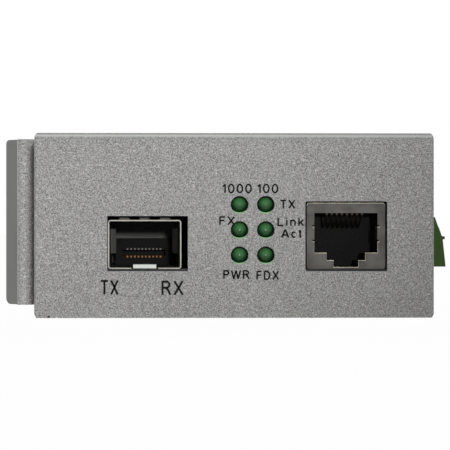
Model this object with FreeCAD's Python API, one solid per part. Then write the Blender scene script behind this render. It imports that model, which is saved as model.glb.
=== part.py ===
import FreeCAD, Part
import math
import os

os.makedirs("parts", exist_ok=True)

# Every size is in millimetres. X runs to the right of the port face, Y runs into
# the body and Z runs up. The origin is the middle of the body's bottom face.

# Body
body_width = 80.0
body_depth = 100.0
body_height = 37.0
sheet = 1.0              # folded steel of the cover and the tray
bend = 0.6               # inner radius of their folds
butt_gap = 0.1           # between folded walls that meet at a corner
top_corner_in = 0.5      # how far the top stops short of each side
top_corner_down = 0.75
foot_corner_in = 0.45
foot_corner_up = 0.75
edge_round = 0.45        # rounding of the front wall's upright edges
front_lip_height = 6.5
screw_lip = 9.0          # width of the tray's inward lips under the top
screw_lip_inset = 4.5    # screw line from the outer face of the side wall
case_screw_from_end = 10.0
case_screw_length = 6.0

# Screws
m3_radius = 1.5
m3_head_radius = 2.75
m3_head_depth = 1.25
pan_head_radius = 2.8
pan_head_height = 1.9
screw_gap = 0.05         # radial gap of every screw in its hole
head_sink = 0.05         # how far a flat head lies below the sheet

# Circuit board
board_top = 9.78
board_thickness = 1.6
board_side_gap = 1.5     # from the side walls to the board
board_front_gap = 0.4    # from the tray's front lip to the board
board_back_gap = 3.0
standoff_flats = 5.5
standoff_shank_radius = 2.1
standoff_from_side = 6.5
standoff_front = 12.0    # from the front face
standoff_back = 10.0     # from the back face
board_screw_length = 6.0

# Fibre module cage
cage_from_side = 22.03   # its middle from the left side of the body
cage_width = 14.65
cage_height = 9.8
cage_room = 2.7          # behind its connector
cage_sheet = 0.25
cage_corner = 0.6
cage_recess = 0.2        # from the front face to the mouth
cage_cut_left = 0.14     # gaps between the cage and its cut-out
cage_cut_right = 1.3
cage_cut_top = 0.78
cage_cut_foot = 0.48
finger_pitch = 4.05
finger_width = 2.0
finger_rise = 0.45
finger_sheet = 0.15
latch_tab_width = 4.6
latch_tab_rise = 0.95
latch_tab_length = 6.0
side_spring_lean = 1.0
side_spring_length = 6.5
side_spring_low = 2.8    # above the cage's foot
side_spring_high = 8.0

# Fibre module connector
edge_connector_depth = 36.0   # from the front face to its own face
edge_connector_width = 12.4
edge_connector_length = 10.0
edge_connector_height = 5.9
card_slot_width = 9.4
card_slot_height = 1.25
card_slot_centre = 2.77       # above the board
card_slot_depth = 5.5
contact_pitch = 0.8
contacts_per_row = 10
contact_width = 0.36
contact_thickness = 0.4
contact_lip = 1.0             # plastic in front of the lower contacts' upright legs
notch_radius = 0.26           # grooves in the connector's top

# Copper jack
jack_from_side = 17.63        # its middle from the right side of the body
jack_width = 15.78
jack_height = 13.22
jack_length = 21.3
jack_sheet = 0.25
jack_recess = 0.7
jack_cut_side = 0.31
jack_cut_top = 0.3
jack_cut_foot = 0.5
jack_cut_corner = 0.4
jack_mouth_width = 12.7
jack_mouth_top = 11.19        # above the board
jack_mouth_foot = 3.22
jack_step_width = 7.75
jack_step_foot = 1.72
jack_latch_width = 4.95
jack_latch_foot = 0.35
jack_mouth_depth = 12.6
jack_lining = 0.2             # how far the plastic stands back from the shield's edge
jack_wire_pitch = 1.02
jack_wire_count = 8
jack_wire = 0.4
jack_wire_gap = 0.1
jack_wire_run = 7.2           # the slanting free end of a wire
jack_wire_drop = 3.0
jack_tab_low = 5.82           # the side springs, above the board
jack_tab_high = 8.42
jack_tab_in = 0.22
jack_peg_radius = 1.6
jack_peg_spread = 11.43

# Lamps
lamp_radius = 1.5
lamp_hole_radius = 1.775
lamp_columns = (0.99, 6.24)
lamp_low = 12.5               # height of the lowest row
lamp_pitch = 5.05
lamp_sink = 0.1               # from the front face to the dome's tip
lamp_length = 5.3
lamp_gap = 0.05
lamp_holder_margin = 2.2
lamp_holder_back = 6.4        # depth of the holder
lamp_lead = 0.45
lamp_lead_spread = 2.54
lamp_lead_step = 2.54

# Power terminal
poles = 4
pole_pitch = 3.81
terminal_y = 5.0
header_height = 7.25
header_depth = 9.2
header_out = 0.2              # how far the header passes the wall
header_wall = 1.0
header_end = 0.95             # past the outer pole on each side
header_pin = 1.0
header_pin_height = 3.62      # pin line above the board
nose_gap = 0.15               # between the plug's nose and the header
plug_stop_gap = 0.1           # between the plug's shoulder and the header
plug_low = 0.53               # how far the plug hangs below the board's top
plug_top = 10.62              # above the board
plug_top_reach = 7.6          # beyond the side wall
plug_slope_reach = 9.1
plug_ridge_reach = 9.75
plug_ridge_high = 6.32
plug_ridge_low = 5.62
plug_face_reach = 9.3
plug_foot_reach = 9.95
plug_ledge = 0.4              # the upper ends are set in by this much
plug_ledge_height = 8.4
clamp_x = 3.75                # screw line beyond the side wall
clamp_length = 4.3
clamp_width = 2.6
clamp_wall = 0.35
clamp_floor = 0.5
clamp_window = 3.95
clamp_roof = 1.0
clamp_gap = 0.2
clamp_travel = 2.0
clamp_low = 0.27              # foot of the open clamp above the board
terminal_bar = 0.45
terminal_bar_width = 1.6
clamp_screw_radius = 0.95
clamp_head_radius = 1.5
clamp_head_height = 1.45
clamp_head_sink = 0.5
driver_slot = 0.45
wire_entry_width = 2.6
wire_entry_height = 3.2

# Rail bracket and latch
rail_width = 35.0
rail_y = -2.0                 # middle of the rail
rail_gap = 1.35               # under the hooks, for a rail edge of 1 mm
bracket_sheet = 1.2
bracket_bend = 0.3
bracket_standoff = 1.5
bracket_low = 1.5
hook_play = 0.8
hook_facet_out = 1.7
hook_facet_back = 1.3
hook_lip = 3.0
hook_flare_out = 2.6
hook_flare_angle = 48.0
hook_low_corner = 1.4
hook_high_corner = 0.9
bracket_back = 22.0           # end of the plate behind the rail's middle
bracket_screw_front = 12.0    # screw lines from the rail's middle
bracket_screw_back = 14.0
bracket_screw_edge = 4.75     # screw lines from the plate's top and bottom
boss_radius = 3.2
bracket_screw_length = 5.5
latch_sheet = 1.2
latch_gap = 0.15              # on each face of the sliding latch
latch_width = 16.0
latch_front = 14.0            # from the rail's middle
latch_back = 32.0
latch_hook_width = 10.4
latch_play = 0.2
latch_lip = 3.0
latch_flare_out = 2.1
latch_travel = 3.0
latch_window = 9.0
guide_radius = 2.0
guide_front = 6.0             # guide boss in front of the rail's middle
guide_back = 11.0             # spring boss behind the rail's middle
guide_gap = 0.1
spring_room = 5.0             # half height of the spring's window
spring_leaf = 0.7
spring_turns = 5

# Parts soldered to the board: length, width and height, then where they sit
converter_size = (14.0, 14.0, 1.4)
converter_aside = 0.9         # left of the middle between the two ports
converter_from_front = 40.0
driver_size = (9.0, 9.0, 1.2)
driver_from_jack = 3.37       # its middle left of the jack's
driver_behind_jack = 20.0
memory_size = (5.0, 4.0, 1.6)
memory_from_side = 46.0       # every distance of this kind is from the right side
memory_behind_middle = 10.0
regulator_size = (10.0, 9.0, 2.6)
regulator_from_side = 24.0
regulator_from_back = 12.0
transformer_size = (12.7, 8.0, 5.6)
transformer_behind_jack = 7.5
crystal_size = (11.0, 4.6, 3.6)
crystal_from_side = 36.0
crystal_behind_middle = 8.0
choke_size = (12.0, 12.0, 6.0)
choke_from_side = 28.0
choke_from_back = 26.0
fuse_size = (8.5, 4.0, 3.2)
fuse_from_side = 16.0
fuse_behind_header = 3.43
input_can_radius = 4.0
input_can_height = 11.5
input_can_from_side = 14.0
input_can_behind_fuse = 9.0
input_can_leads = 5.0
output_can_radius = 3.15
output_can_height = 11.0
output_can_from_side = 40.0
output_can_from_back = 18.0
output_can_leads = 2.5
can_groove_up = 1.6
can_groove_height = 0.7
can_groove_depth = 0.35
can_lead_radius = 0.3
chip_leg_width = 0.4
chip_leg_reach = 1.0
chip_leg_root = 0.1           # length of a leg inside the chip
chip_leg_height = 0.3
chip_leg_inset = 0.8          # outer leg from the chip's corner
chip_stand = 0.1

half_width = body_width / 2
front = -body_depth / 2
back = body_depth / 2
wall_inner = half_width - sheet
board_foot = board_top - board_thickness
pin_tip = board_foot - 1.1
standoff_x = half_width - standoff_from_side
cage_x = cage_from_side - half_width
jack_x = half_width - jack_from_side
bracket_height = body_height - bracket_low


def vec(x, y, z):
    return FreeCAD.Vector(x, y, z)


def block(x0, x1, y0, y1, z0, z1):
    return Part.makeBox(x1 - x0, y1 - y0, z1 - z0, vec(x0, y0, z0))


def rod(x, y, z, radius, length, axis):
    return Part.makeCylinder(radius, length, vec(x, y, z), vec(*axis))


def cone(x, y, z, start_radius, end_radius, length, axis):
    return Part.makeCone(start_radius, end_radius, length, vec(x, y, z), vec(*axis))


def prism(corners, travel):
    outline = Part.makePolygon(corners + corners[:1])
    return Part.Face(outline).extrude(travel)


def joined(solids):
    return solids[0].multiFuse(solids[1:]).removeSplitter()


def save(node, solids):
    shape = solids[0] if len(solids) == 1 else Part.makeCompound(solids)
    shape.exportStep("parts/%s.step" % node)
    print(node, len(shape.Solids), round(shape.Volume, 2))


# The point where the lines a-b and c-d meet.
def meeting(a, b, c, d):
    ux, uy = b[0] - a[0], b[1] - a[1]
    vx, vy = d[0] - c[0], d[1] - c[1]
    along = ((c[0] - a[0]) * vy - (c[1] - a[1]) * vx) / (ux * vy - uy * vx)
    return (a[0] + ux * along, a[1] + uy * along)


# The path moved to its left by a distance.
def beside(path, distance):
    runs = []
    for (ax, ay), (bx, by) in zip(path, path[1:]):
        length = math.hypot(bx - ax, by - ay)
        nx, ny = -(by - ay) * distance / length, (bx - ax) * distance / length
        runs.append(((ax + nx, ay + ny), (bx + nx, by + ny)))
    corners = [meeting(*first, *second) for first, second in zip(runs, runs[1:])]
    return [runs[0][0]] + corners + [runs[-1][1]]


# Straight runs and arcs along a path, each as its two or three points.
def rounded(path, radii):
    runs = []
    start = path[0]
    for before, corner, after, radius in zip(path, path[1:], path[2:], radii):
        ux, uy = before[0] - corner[0], before[1] - corner[1]
        vx, vy = after[0] - corner[0], after[1] - corner[1]
        ul, vl = math.hypot(ux, uy), math.hypot(vx, vy)
        ux, uy, vx, vy = ux / ul, uy / ul, vx / vl, vy / vl
        half = math.acos(ux * vx + uy * vy) / 2
        reach = radius / math.tan(half)
        bl = math.hypot(ux + vx, uy + vy)
        bx, by = (ux + vx) / bl, (uy + vy) / bl
        far = radius / math.sin(half)
        entry = (corner[0] + ux * reach, corner[1] + uy * reach)
        leave = (corner[0] + vx * reach, corner[1] + vy * reach)
        middle = (corner[0] + bx * (far - radius), corner[1] + by * (far - radius))
        runs.append((start, entry))
        runs.append((entry, middle, leave))
        start = leave
    runs.append((start, path[-1]))
    return runs


# A folded strip: the path is one face of the sheet and the metal lies to its left.
def folded(path, thickness, inner, place, travel):
    turns = []
    for a, b, c in zip(path, path[1:], path[2:]):
        turns.append((b[0] - a[0]) * (c[1] - b[1]) - (b[1] - a[1]) * (c[0] - b[0]))
    near = rounded(path, [inner + thickness if turn > 0 else inner for turn in turns])
    far = rounded(beside(path, thickness), [inner if turn > 0 else inner + thickness for turn in turns])
    loop = near + [(near[-1][-1], far[-1][-1])]
    loop += [tuple(reversed(run)) for run in reversed(far)]
    loop.append((far[0][0], near[0][0]))
    edges = []
    for run in loop:
        points = [place(u, v) for u, v in run]
        if len(points) == 2:
            edges.append(Part.LineSegment(*points).toShape())
        else:
            edges.append(Part.Arc(*points).toShape())
    return Part.Face(Part.Wire(edges)).extrude(travel)


def long_edges(shape, axis):
    found = []
    for edge in shape.Edges:
        if len(edge.Vertexes) == 2:
            span = edge.Vertexes[1].Point - edge.Vertexes[0].Point
            if span.Length > 0 and abs(span.normalize().dot(axis)) > 0.999:
                found.append(edge)
    return found


# A box with its edges along one axis rounded.
def soft_block(x0, x1, y0, y1, z0, z1, radius, axis):
    solid = block(x0, x1, y0, y1, z0, z1)
    return solid.makeFillet(radius, long_edges(solid, vec(*axis)))


# A flat-head screw with a cross recess. Its head's face is at the point given.
def flat_screw(x, y, z, length, axis):
    head = cone(x, y, z, m3_head_radius, m3_radius, m3_head_depth, axis)
    shank = rod(x, y, z, m3_radius, length, axis)
    return joined([head, shank]).cut(cross_recess(x, y, z, axis))


# Two crossed slots of a driver recess, cut from the point along the axis.
def cross_recess(x, y, z, axis):
    long_half, short_half, deep = 1.3, 0.32, 1.1
    slots = []
    for a, b in ((long_half, short_half), (short_half, long_half)):
        if axis[2]:
            low = z - deep if axis[2] < 0 else z
            slots.append(block(x - a, x + a, y - b, y + b, low, low + deep))
        else:
            low = x - deep if axis[0] < 0 else x
            slots.append(block(low, low + deep, y - a, y + a, z - b, z + b))
    return slots[0].fuse(slots[1])


# The hole for a flat-head screw through sheets whose face is at the point given.
def flat_hole(x, y, z, axis):
    wide = m3_head_radius + head_sink + screw_gap * 2
    mouth = cone(x, y, z, wide, m3_radius + screw_gap, wide - m3_radius - screw_gap, axis)
    return mouth.fuse(rod(x, y, z, m3_radius + screw_gap, 8.0, axis))


def mirrored(x):
    return (-x, x)


# Front wall and top wall, one folded sheet.
cage_left = cage_x - cage_width / 2
cage_right = cage_x + cage_width / 2
cage_foot = board_top
cage_top = board_top + cage_height
jack_left = jack_x - jack_width / 2
jack_right = jack_x + jack_width / 2
jack_top = board_top + jack_height
lamp_rows = [lamp_low + lamp_pitch * row for row in range(3)]
case_screw_spots = [(x, y) for x in mirrored(half_width - screw_lip_inset)
                    for y in (front + case_screw_from_end, back - case_screw_from_end)]


def front_cover():
    path = [(back, body_height), (front, body_height), (front, 0.0)]
    cover = folded(path, sheet, bend, lambda y, z: vec(-half_width, y, z), vec(body_width, 0, 0))
    uprights = [edge for edge in long_edges(cover, vec(0, 0, 1))
                if abs(edge.CenterOfMass.y - front) < 0.01]
    cover = cover.makeFillet(edge_round, uprights)
    cuts = [block(cage_left - cage_cut_left, cage_right + cage_cut_right, front - 1, front + sheet + 1,
                  cage_foot - cage_cut_foot, cage_top + cage_cut_top)]
    cuts.append(soft_block(jack_left - jack_cut_side, jack_right + jack_cut_side, front - 1, front + sheet + 1,
                           board_top - jack_cut_foot, jack_top + jack_cut_top, jack_cut_corner, (0, 1, 0)))
    for x in lamp_columns:
        for z in lamp_rows:
            cuts.append(rod(x, front - 1, z, lamp_hole_radius, sheet + 2, (0, 1, 0)))
    for x, y in case_screw_spots:
        cuts.append(flat_hole(x, y, body_height, (0, 0, -1)))
    for side in (-1, 1):
        edge = side * half_width
        inner = side * (half_width - top_corner_in)
        cuts.append(block(min(edge, inner), max(edge, inner), front + sheet, back + 1,
                          body_height - sheet - bend, body_height + 1))
        past = edge + side
        cuts.append(prism([vec(inner, front - 1, body_height), vec(inner, front - 1, body_height + 1),
                           vec(past, front - 1, body_height + 1),
                           vec(past, front - 1, body_height - top_corner_down),
                           vec(edge, front - 1, body_height - top_corner_down)], vec(0, 5, 0)))
        foot = side * (half_width - foot_corner_in)
        cuts.append(prism([vec(foot, front - 1, 0), vec(foot, front - 1, -1), vec(past, front - 1, -1),
                           vec(past, front - 1, foot_corner_up), vec(edge, front - 1, foot_corner_up)],
                          vec(0, 5, 0)))
    return cover.cut(cuts)


# Bottom, sides and back, with the lips that carry the cover.
header_y = poles * pole_pitch / 2 + header_end
bracket_middle = bracket_low + bracket_height / 2
bracket_screw_spots = [(y, z) for y in (rail_y - bracket_screw_front, rail_y + bracket_screw_back)
                       for z in (bracket_low + bracket_screw_edge, body_height - bracket_screw_edge)]
standoff_spots = [(x, y) for x in mirrored(standoff_x)
                  for y in (front + standoff_front, back - standoff_back)]


def base_tray():
    start = front + sheet
    path = [(-half_width + screw_lip, body_height - sheet), (-half_width, body_height - sheet),
            (-half_width, 0.0), (half_width, 0.0), (half_width, body_height - sheet),
            (half_width - screw_lip, body_height - sheet)]
    tray = folded(path, sheet, bend, lambda x, z: vec(x, start, z), vec(0, back - start, 0))
    span = wall_inner - butt_gap
    fold = sheet + bend
    tray = tray.cut([block(-span, span, start - 1, start + fold, -1, body_height),
                     block(-span, span, back - fold, back + 1, -1, body_height),
                     block(-half_width, half_width, start - 1, start + bend + 0.1,
                           body_height - fold - 0.1, body_height)])
    lip = folded([(start, front_lip_height), (start, 0.0), (start + 6, 0.0)], sheet, bend,
                 lambda y, z: vec(-span, y, z), vec(2 * span, 0, 0))
    wall = folded([(back - 6, 0.0), (back, 0.0), (back, body_height - sheet)], sheet, bend,
                  lambda y, z: vec(-span, y, z), vec(2 * span, 0, 0))
    tray = joined([tray, lip, wall])
    cuts = [block(wall_inner - 1, half_width + 1, terminal_y - header_y - 0.3, terminal_y + header_y + 0.3,
                  board_top - 0.3, board_top + header_height + 0.3)]
    for x, y in standoff_spots:
        cuts.append(rod(x, y, -1, standoff_shank_radius + screw_gap, sheet + 2, (0, 0, 1)))
    for y, z in bracket_screw_spots:
        cuts.append(rod(-half_width - 1, y, z, m3_radius + screw_gap, sheet + 2, (1, 0, 0)))
    for x, y in case_screw_spots:
        cuts.append(flat_hole(x, y, body_height, (0, 0, -1)))
    return tray.cut(cuts)


def hexagon(x, y, z, flats, height):
    corner = flats / math.sqrt(3)
    ring = [vec(x + corner * math.cos(math.radians(60 * n)), y + corner * math.sin(math.radians(60 * n)), z)
            for n in range(6)]
    return prism(ring, vec(0, 0, height))


def standoff(x, y):
    body = hexagon(x, y, sheet, standoff_flats, board_foot - sheet)
    shank = rod(x, y, 0, standoff_shank_radius, sheet + 0.5, (0, 0, 1))
    bore = rod(x, y, sheet + 0.6, m3_radius + screw_gap, board_foot, (0, 0, 1))
    return joined([body, shank]).cut(bore)


def board_screw(x, y):
    head = rod(x, y, board_top, pan_head_radius, pan_head_height, (0, 0, 1))
    rim = [edge for edge in head.Edges if edge.Length > 6 * pan_head_radius
           and edge.CenterOfMass.z > board_top + 0.5 * pan_head_height and len(edge.Vertexes) == 1]
    head = head.makeFillet(0.8, rim)
    shank = rod(x, y, board_top - board_screw_length, m3_radius, board_screw_length, (0, 0, 1))
    return joined([head, shank]).cut(cross_recess(x, y, board_top + pan_head_height, (0, 0, -1)))


# Folded cage that takes the fibre module, with its contact fingers, latch tab and side springs.
cage_front = front + cage_recess
edge_face = front + edge_connector_depth
edge_back = edge_face + edge_connector_length
cage_back = edge_back + cage_room
cage_pin_spots = [(x, y) for x in (cage_left + cage_sheet / 2, cage_right - cage_sheet / 2)
                  for y in (front + 11, edge_face - 15, edge_face - 5, edge_face + 5)]


def sfp_cage():
    outer = soft_block(cage_left, cage_right, cage_front, cage_back, cage_foot, cage_top,
                       cage_corner, (0, 1, 0))
    inner = soft_block(cage_left + cage_sheet, cage_right - cage_sheet, cage_front - 1,
                       cage_back - cage_sheet, cage_foot + cage_sheet, cage_top - cage_sheet,
                       cage_corner - cage_sheet, (0, 1, 0))
    tab_half = latch_tab_width / 2
    shell = outer.cut([
        inner,
        block(cage_left + 0.8, cage_right - 0.8, edge_face - 3.0, cage_back - 0.8, cage_foot - 1,
              cage_foot + cage_sheet + 0.1),
        block(cage_x - tab_half - 0.4, cage_x + tab_half + 0.4, cage_front - 1,
              cage_front + latch_tab_length, cage_foot - 1, cage_foot + cage_sheet + 0.1)])
    parts = [shell]
    tab_path = [(cage_front, cage_foot + 0.05), (cage_front + 0.5, cage_foot + latch_tab_rise - cage_sheet),
                (cage_front + 2.2, cage_foot + latch_tab_rise - cage_sheet),
                (cage_front + latch_tab_length - 1.0, cage_foot),
                (cage_front + latch_tab_length + 0.5, cage_foot)]
    parts.append(folded(tab_path, cage_sheet, 0.15, lambda y, z: vec(cage_x - tab_half, y, z),
                        vec(latch_tab_width, 0, 0)))
    finger_path = [(cage_front + 4.6, cage_top - 0.1), (cage_front + 3.2, cage_top + finger_rise),
                   (cage_front + 1.4, cage_top + finger_rise), (cage_front + 0.1, cage_top - 0.1)]
    for n in (-1, 0, 1):
        left = cage_x + n * finger_pitch - finger_width / 2
        parts.append(folded(finger_path, finger_sheet, 0.2, lambda y, z: vec(left, y, z),
                            vec(finger_width, 0, 0)))
    for wall, side in ((cage_left + cage_sheet / 2, 1), (cage_right - cage_sheet / 2, -1)):
        for start in (edge_face - 16, edge_face - side_spring_length - 0.5):
            tip = start + side_spring_length
            lean = side * (side_spring_lean + cage_sheet / 2)
            low = cage_foot + side_spring_low
            parts.append(prism([vec(wall, start, low), vec(wall + side * 0.2, start, low),
                                vec(wall + lean, tip, low), vec(wall + lean - side * 0.2, tip, low)],
                               vec(0, 0, side_spring_high - side_spring_low)))
    for x, y in cage_pin_spots:
        parts.append(block(x - cage_sheet / 2, x + cage_sheet / 2, y - 0.35, y + 0.35, pin_tip,
                           cage_foot + 1.0))
    return joined(parts)


slot_low = board_top + card_slot_centre - card_slot_height / 2
slot_high = board_top + card_slot_centre + card_slot_height / 2
contact_lines = [cage_x + (n - (contacts_per_row - 1) / 2) * contact_pitch for n in range(contacts_per_row)]
leg_y = edge_face + contact_lip


def sfp_connector():
    half = edge_connector_width / 2
    top = board_top + edge_connector_height
    body = block(cage_x - half, cage_x + half, edge_face, edge_back, board_top, top)
    rails = [block(cage_x + side * half - 0.9, cage_x + side * half + 0.9, edge_face - 1, edge_face + 2.5,
                   slot_high + 1.2, top + 1) for side in (-1, 1)]
    cuts = [block(cage_x - card_slot_width / 2, cage_x + card_slot_width / 2, edge_face - 1,
                  edge_face + card_slot_depth, slot_low, slot_high)] + rails
    for x in contact_lines:
        a, b = x - contact_width / 2, x + contact_width / 2
        cuts.append(block(a, b, edge_face - 1, edge_back + 1, slot_high - 0.01, slot_high + contact_thickness))
        cuts.append(block(a, b, edge_face - 1, edge_face + card_slot_depth, slot_low - contact_thickness,
                          slot_low + 0.01))
        cuts.append(block(a, b, leg_y, leg_y + 0.25, board_top - 1, slot_low))
        cuts.append(block(a, b, edge_face - 1, leg_y + 0.25, board_top - 1, board_top + 0.2))
        cuts.append(rod(x, edge_face - 1, top, notch_radius, 3.0, (0, 1, 0)))
    return body.cut(cuts)


def sfp_contacts():
    upper, lower = [], []
    foot = 0.2
    for x in contact_lines:
        a, b = x - contact_width / 2, x + contact_width / 2
        top = slot_high + contact_thickness
        upper.append(joined([block(a, b, edge_face + 0.1, edge_back + 0.25, slot_high, top),
                             block(a, b, edge_back, edge_back + 0.25, board_top, top),
                             block(a, b, edge_back, edge_back + 1.3, board_top, board_top + foot)]))
        lower.append(joined([block(a, b, edge_face + 0.1, edge_face + card_slot_depth - 0.1,
                                   slot_low - contact_thickness, slot_low),
                             block(a, b, leg_y, leg_y + 0.25, board_top, slot_low),
                             block(a, b, edge_face - 0.9, leg_y + 0.25, board_top, board_top + foot)]))
    return upper + lower


# Shielded copper jack: shield, plastic insert and eight spring wires.
jack_front = front + jack_recess
jack_back = jack_front + jack_length
jack_wires = [jack_x + (n - (jack_wire_count - 1) / 2) * jack_wire_pitch for n in range(jack_wire_count)]
jack_tail_y = jack_back - 3.0
jack_peg_y = jack_front + 12.5
jack_shield_leg_y = jack_front + 8.5


# The stepped mouth that the plug and its latch go into.
def jack_mouth(grow, y0, y1):
    wide, step, latch = jack_mouth_width / 2 + grow, jack_step_width / 2 + grow, jack_latch_width / 2 + grow
    high = board_top + jack_mouth_top + grow
    return joined([
        block(jack_x - wide, jack_x + wide, y0, y1, board_top + jack_mouth_foot - grow, high),
        block(jack_x - step, jack_x + step, y0, y1, board_top + jack_step_foot - grow, high),
        block(jack_x - latch, jack_x + latch, y0, y1, board_top + jack_latch_foot, high)])


def rj45_shield():
    outer = soft_block(jack_left, jack_right, jack_front, jack_back, board_top, jack_top, 0.5, (0, 1, 0))
    inner = soft_block(jack_left + jack_sheet, jack_right - jack_sheet, jack_front + jack_sheet,
                       jack_back - jack_sheet, board_top + jack_sheet, jack_top - jack_sheet, 0.25, (0, 1, 0))
    open_foot = block(jack_left + 0.4, jack_right - 0.4, jack_front + 2.4, jack_back - 0.6,
                      board_top - 1, board_top + jack_sheet + 0.1)
    cuts = [inner, open_foot, jack_mouth(0.0, jack_front - 1, jack_front + jack_sheet + 0.1)]
    parts = []
    for side in (-1, 1):
        edge = jack_x + side * jack_mouth_width / 2
        for low in (jack_tab_low - 0.35, jack_tab_high):
            cuts.append(block(min(edge, edge + side * 0.4), max(edge, edge + side * 0.4), jack_front - 1,
                              jack_front + jack_sheet + 0.1, board_top + low, board_top + low + 0.35))
        parts.append(prism([vec(edge, jack_front, board_top + jack_tab_low),
                            vec(edge - side * jack_tab_in, jack_front + 0.4, board_top + jack_tab_low),
                            vec(edge - side * jack_tab_in, jack_front + 2.2, board_top + jack_tab_low),
                            vec(edge - side * (jack_tab_in - 0.2), jack_front + 2.2, board_top + jack_tab_low),
                            vec(edge, jack_front + 0.6, board_top + jack_tab_low)],
                           vec(0, 0, jack_tab_high - jack_tab_low)))
        wall = jack_x + side * (jack_width / 2 - jack_sheet / 2)
        parts.append(block(wall - jack_sheet / 2, wall + jack_sheet / 2, jack_shield_leg_y - 0.8,
                           jack_shield_leg_y + 0.8, pin_tip, board_top + 1.0))
    return joined([outer.cut(cuts)] + parts)


def rj45_insert():
    side, high = jack_width / 2 - jack_sheet, jack_top - jack_sheet
    start, end = jack_front + jack_sheet, jack_back - jack_sheet
    body = soft_block(jack_x - side, jack_x + side, start, end, board_top + jack_sheet, high, 0.25, (0, 1, 0))
    sole = block(jack_x - side + 0.5, jack_x + side - 0.5, jack_front + 2.5, jack_back - 0.7,
                 board_top, board_top + jack_sheet + 0.5)
    pegs = [rod(jack_x + offset, jack_peg_y, board_foot - 0.8, jack_peg_radius, board_thickness + 1.2, (0, 0, 1))
            for offset in mirrored(jack_peg_spread / 2)]
    body = joined([body, sole] + pegs)
    cuts = [jack_mouth(jack_lining, start - 1, jack_front + jack_mouth_depth)]
    room = jack_wire / 2 + jack_wire_gap
    roof = board_top + jack_mouth_top
    for x in jack_wires:
        cuts.append(block(x - room, x + room, start + 2.2, jack_tail_y + room, roof + 0.7, roof + 1.3))
        cuts.append(block(x - room, x + room, start + 2.2, start + 4.2, roof - 0.5, roof + 1.0))
        cuts.append(block(x - room, x + room, jack_tail_y - room, jack_tail_y + room, board_top - 1, roof + 1.3))
    return body.cut(cuts)


def rj45_contacts():
    roof = board_top + jack_mouth_top
    start = jack_front + jack_sheet + 2.35
    half = jack_wire / 2
    path = [(jack_tail_y + half, pin_tip), (jack_tail_y + half, roof + 1.2), (start, roof + 1.2),
            (start, roof - 0.4), (start + jack_wire_run, roof - jack_wire_drop)]
    return [folded(path, jack_wire, 0.25, lambda y, z: vec(x - half, y, z), vec(jack_wire, 0, 0))
            for x in jack_wires]


# Lamps in one holder behind the front wall.
lamp_tip = front + lamp_sink
lamp_back = lamp_tip + lamp_length
holder_front = front + sheet + 0.1
holder_back = holder_front + lamp_holder_back
lead_columns = [(row, holder_back + 1.2 + lamp_lead_step * row) for row in range(3)]


def led_holder():
    body = block(lamp_columns[0] - lamp_holder_margin, lamp_columns[-1] + lamp_holder_margin, holder_front,
                 holder_back, board_top, lamp_rows[-1] + lamp_holder_margin + 0.4)
    cuts = []
    slot = lamp_lead / 2 + 0.1
    for x in lamp_columns:
        for z in lamp_rows:
            cuts.append(rod(x, holder_front - 1, z, lamp_radius + lamp_gap, lamp_back - holder_front + 1,
                            (0, 1, 0)))
            for lead in mirrored(lamp_lead_spread / 2):
                cuts.append(block(x + lead - slot, x + lead + slot, lamp_back - 0.5, holder_back + 1,
                                  z - slot, z + slot))
    return body.cut(cuts)


def lamp(x, z):
    barrel = rod(x, lamp_tip + lamp_radius, z, lamp_radius, lamp_length - lamp_radius, (0, 1, 0))
    dome = Part.makeSphere(lamp_radius, vec(x, lamp_tip + lamp_radius, z))
    return joined([barrel, dome])


def led_leads():
    solids = []
    half = lamp_lead / 2
    for x in lamp_columns:
        for row, y in lead_columns:
            z = lamp_rows[row]
            path = [(lamp_back, z + half), (y + half, z + half), (y + half, pin_tip)]
            for lead in mirrored(lamp_lead_spread / 2):
                solids.append(folded([(v, w) for v, w in reversed(path)], lamp_lead, 0.2,
                                     lambda v, w: vec(x + lead - half, v, w), vec(lamp_lead, 0, 0)))
    return solids


# Power terminal: the header on the board and the plug that pulls off it.
header_end_x = half_width + header_out
header_start_x = header_end_x - header_depth
pole_lines = [terminal_y + (n - (poles - 1) / 2) * pole_pitch for n in range(poles)]
pin_line = board_top + header_pin_height
pin_back_x = header_start_x - 1.2
hollow_y = header_y - header_wall + 0.2


def terminal_header():
    body = block(header_start_x, header_end_x, terminal_y - header_y, terminal_y + header_y,
                 board_top, board_top + header_height)
    half = header_pin / 2
    cuts = [block(header_start_x + header_wall + 0.2, header_end_x + 1, terminal_y - hollow_y,
                  terminal_y + hollow_y, board_top + header_wall, board_top + header_height - header_wall)]
    for y in pole_lines:
        cuts.append(block(header_start_x - 1, header_start_x + header_wall + 1, y - half, y + half,
                          pin_line - half, pin_line + half))
        cuts.append(block(header_end_x - 2.5, header_end_x + 1, y - 0.6, y + 0.6,
                          board_top + header_height - header_wall - 0.1, board_top + header_height + 1))
    return body.cut(cuts)


def header_pins():
    half = header_pin / 2
    return [joined([block(pin_back_x, header_end_x - 1.2, y - half, y + half, pin_line - half, pin_line + half),
                    block(pin_back_x, pin_back_x + header_pin, y - half, y + half, pin_tip, pin_line + half)])
            for y in pole_lines]


clamp_line = half_width + clamp_x
clamp_foot = board_top + clamp_low
clamp_height = clamp_floor + clamp_window + clamp_roof
bar_top = clamp_foot + clamp_floor + clamp_window - 0.1
bar_foot = bar_top - terminal_bar
nose_start = header_start_x + header_wall + 0.8
shoulder = header_end_x + plug_stop_gap
chamber_top = clamp_foot + clamp_height + clamp_travel + clamp_gap
head_foot = board_top + plug_top - clamp_head_sink - clamp_head_height
screw_tip = bar_top + 0.25


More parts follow.
